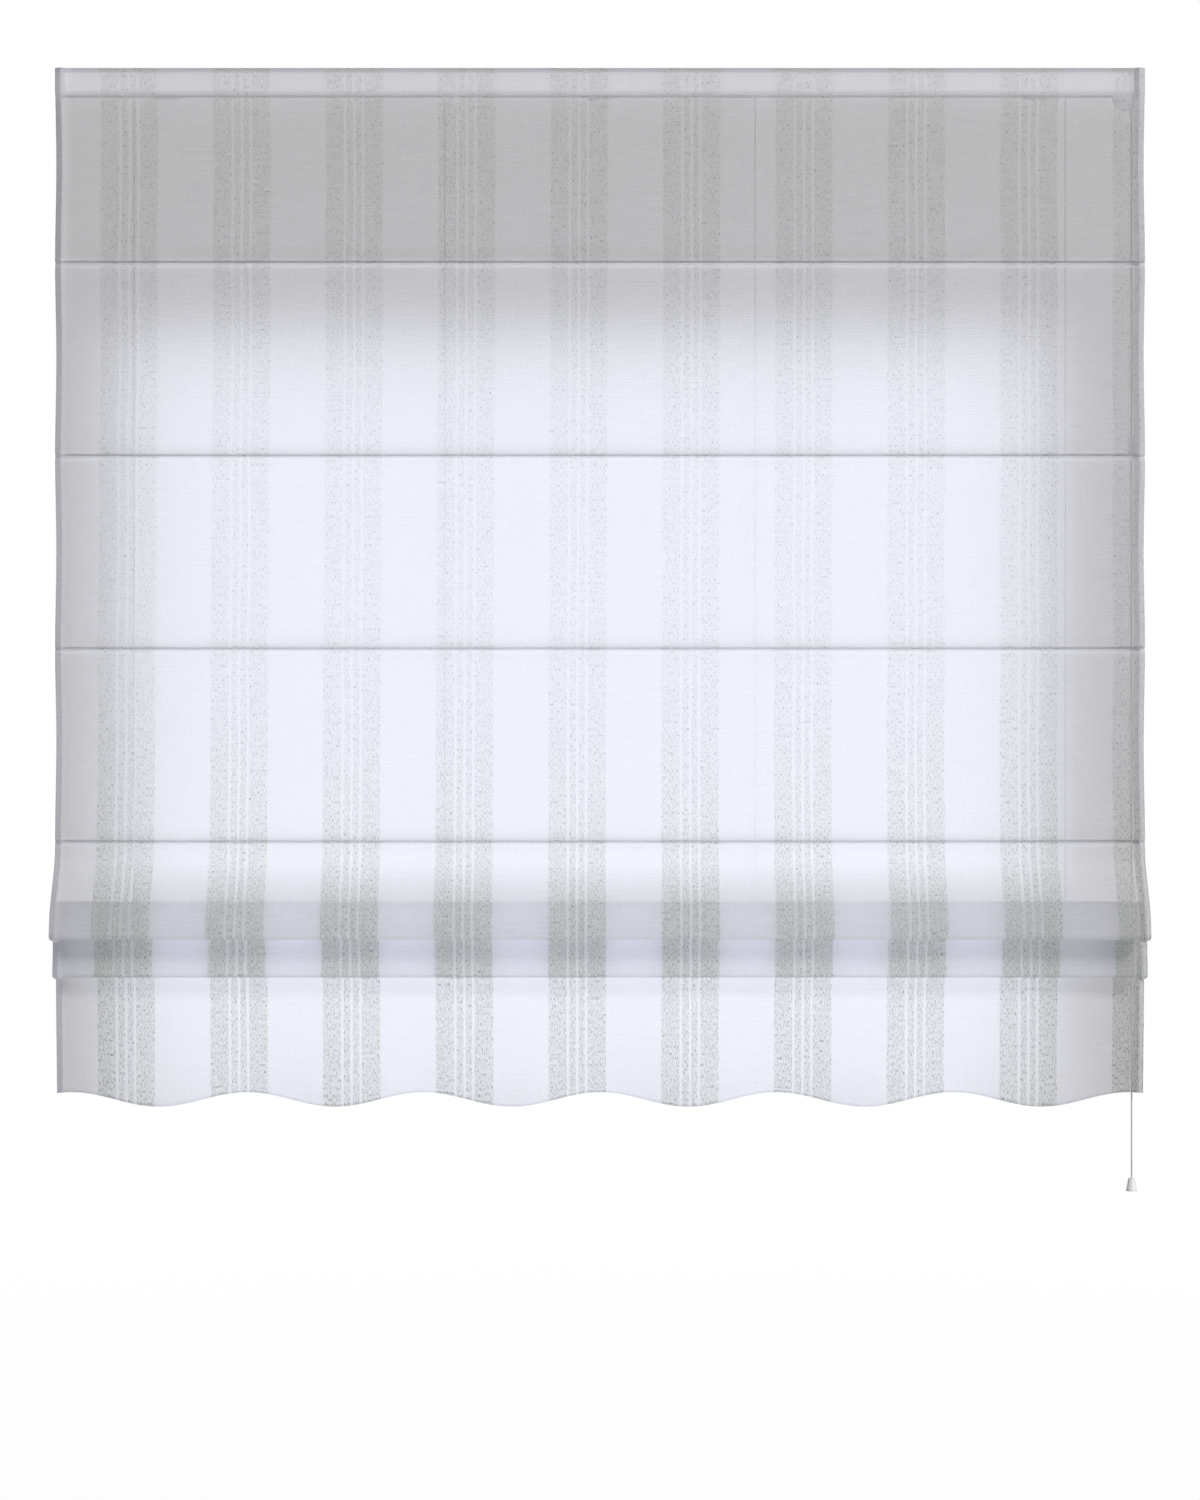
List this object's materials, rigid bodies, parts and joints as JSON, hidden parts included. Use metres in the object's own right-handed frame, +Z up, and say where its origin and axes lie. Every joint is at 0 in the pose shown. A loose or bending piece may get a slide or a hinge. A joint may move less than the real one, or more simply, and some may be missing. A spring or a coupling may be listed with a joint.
{
  "type": "roman blind",
  "caption": "Sheer striped roman blind with stave tucks, drawn-up folds, a wavy valance, and a corded headrail with guides, cord lock and pull bell.",
  "frame": {"origin": "on the wall plane, at the screw hole of the middle bracket, at mid-height of the headrail", "axes": "+X along the rail to the right as seen from the room, +Y to the wall, +Z up"},
  "size_m": [1.4, 0.0919, 1.4441],
  "materials": {
    "cloth": "sheer woven, striped",
    "tape": "hook and loop pile",
    "rail": "white powder coat",
    "steel": "zinc plated",
    "rail_plastic": "moulded, satin",
    "roller": "moulded, smooth",
    "stave": "drawn glass fibre",
    "small_plastic": "moulded, gloss",
    "cord": "braided",
    "bell": "moulded, gloss"
  },
  "bodies": {
    "headrail": {"headrail": "rail", "end_cap_left": "rail_plastic", "end_cap_right": "rail_plastic", "hook_tape": "tape", "loop_tape": "tape", "bracket_left": "steel", "bracket_middle": "steel", "bracket_right": "steel", "cord_guide_1": "rail_plastic", "cord_guide_2": "rail_plastic", "cord_guide_3": "rail_plastic", "cord_guide_4": "rail_plastic", "guide_pins": "steel", "lock_housing": "rail_plastic", "lock_roller_pin": "steel", "lock_pawl_pin": "steel", "cloth": "cloth", "lift_cord_1": "cord", "lift_cord_2": "cord", "lift_cord_3": "cord", "lift_cord_4": "cord"},
    "stave_1": {"stave_1": "stave", "stave_tips_1": "small_plastic", "rings_1": "small_plastic"},
    "stave_2": {"stave_2": "stave", "stave_tips_2": "small_plastic", "rings_2": "small_plastic"},
    "stave_3": {"stave_3": "stave", "stave_tips_3": "small_plastic", "rings_3": "small_plastic"},
    "stave_4": {"stave_4": "stave", "stave_tips_4": "small_plastic", "rings_4": "small_plastic"},
    "bottom_staves": {"stave_5": "stave", "stave_6": "stave", "stave_tips_5": "small_plastic", "stave_tips_6": "small_plastic", "rings_5": "small_plastic", "rings_6": "small_plastic", "cord_stops": "small_plastic"},
    "pull": {"cord_joiner": "small_plastic", "pull_cord": "cord", "pull_bell": "bell"},
    "guide_roller_1": {"guide_roller_1": "roller"},
    "guide_roller_2": {"guide_roller_2": "roller"},
    "guide_roller_3": {"guide_roller_3": "roller"},
    "guide_roller_4": {"guide_roller_4": "roller"},
    "lock_roller": {"lock_roller": "roller"},
    "lock_pawl": {"lock_pawl": "rail_plastic"}
  },
  "joints": [
    {"name": "raise", "type": "slide", "parent": "headrail", "child": "stave_1", "axis": [0, 0, 1], "range_m": [0, 0.2], "deforming": ["cloth", "lift_cord_1", "lift_cord_2", "lift_cord_3", "lift_cord_4"]},
    {"name": "gather_2", "type": "slide", "parent": "stave_1", "child": "stave_2", "axis": [0, 0, 1], "range_m": [0, 0.238]},
    {"name": "gather_3", "type": "slide", "parent": "stave_2", "child": "stave_3", "axis": [0, 0, 1], "range_m": [0, 0.238]},
    {"name": "gather_4", "type": "slide", "parent": "stave_3", "child": "stave_4", "axis": [0, 0, 1], "range_m": [0, 0.238]},
    {"name": "gather_bottom", "type": "slide", "parent": "stave_4", "child": "bottom_staves", "axis": [0, 0, 1], "range_m": [0, 0.07]},
    {"name": "pull", "type": "slide", "parent": "headrail", "child": "pull", "axis": [0, 0, -1], "range_m": [0, 0.984]},
    {"name": "guide_roller_1_turn", "type": "hinge", "parent": "headrail", "child": "guide_roller_1", "pos_m": [-0.5941, -0.0169, -0.004], "axis": [0, 1, 0], "continuous": true},
    {"name": "guide_roller_2_turn", "type": "hinge", "parent": "headrail", "child": "guide_roller_2", "pos_m": [-0.1941, -0.0169, -0.004], "axis": [0, 1, 0], "continuous": true},
    {"name": "guide_roller_3_turn", "type": "hinge", "parent": "headrail", "child": "guide_roller_3", "pos_m": [0.2059, -0.0169, -0.004], "axis": [0, 1, 0], "continuous": true},
    {"name": "guide_roller_4_turn", "type": "hinge", "parent": "headrail", "child": "guide_roller_4", "pos_m": [0.6059, -0.0169, -0.004], "axis": [0, 1, 0], "continuous": true},
    {"name": "lock_roller_turn", "type": "hinge", "parent": "headrail", "child": "lock_roller", "pos_m": [0.6791, -0.0169, -0.004], "axis": [0, 1, 0], "continuous": true},
    {"name": "lock_pawl_swing", "type": "hinge", "parent": "headrail", "child": "lock_pawl", "pos_m": [0.6747, -0.0169, -0.023], "axis": [0, 1, 0], "range_deg": [0, 30]}
  ],
  "couplings": [
    {"joint": "gather_2", "follows": "raise", "ratio": 1.19},
    {"joint": "gather_3", "follows": "raise", "ratio": 1.19},
    {"joint": "gather_4", "follows": "raise", "ratio": 1.19},
    {"joint": "gather_bottom", "follows": "raise", "ratio": 0.35},
    {"joint": "pull", "follows": "raise", "ratio": 4.92},
    {"joint": "guide_roller_1_turn", "follows": "raise", "rad_per_m": 984},
    {"joint": "guide_roller_2_turn", "follows": "raise", "rad_per_m": 984},
    {"joint": "guide_roller_3_turn", "follows": "raise", "rad_per_m": 984},
    {"joint": "guide_roller_4_turn", "follows": "raise", "rad_per_m": 984},
    {"joint": "lock_roller_turn", "follows": "raise", "rad_per_m": 984}
  ]
}
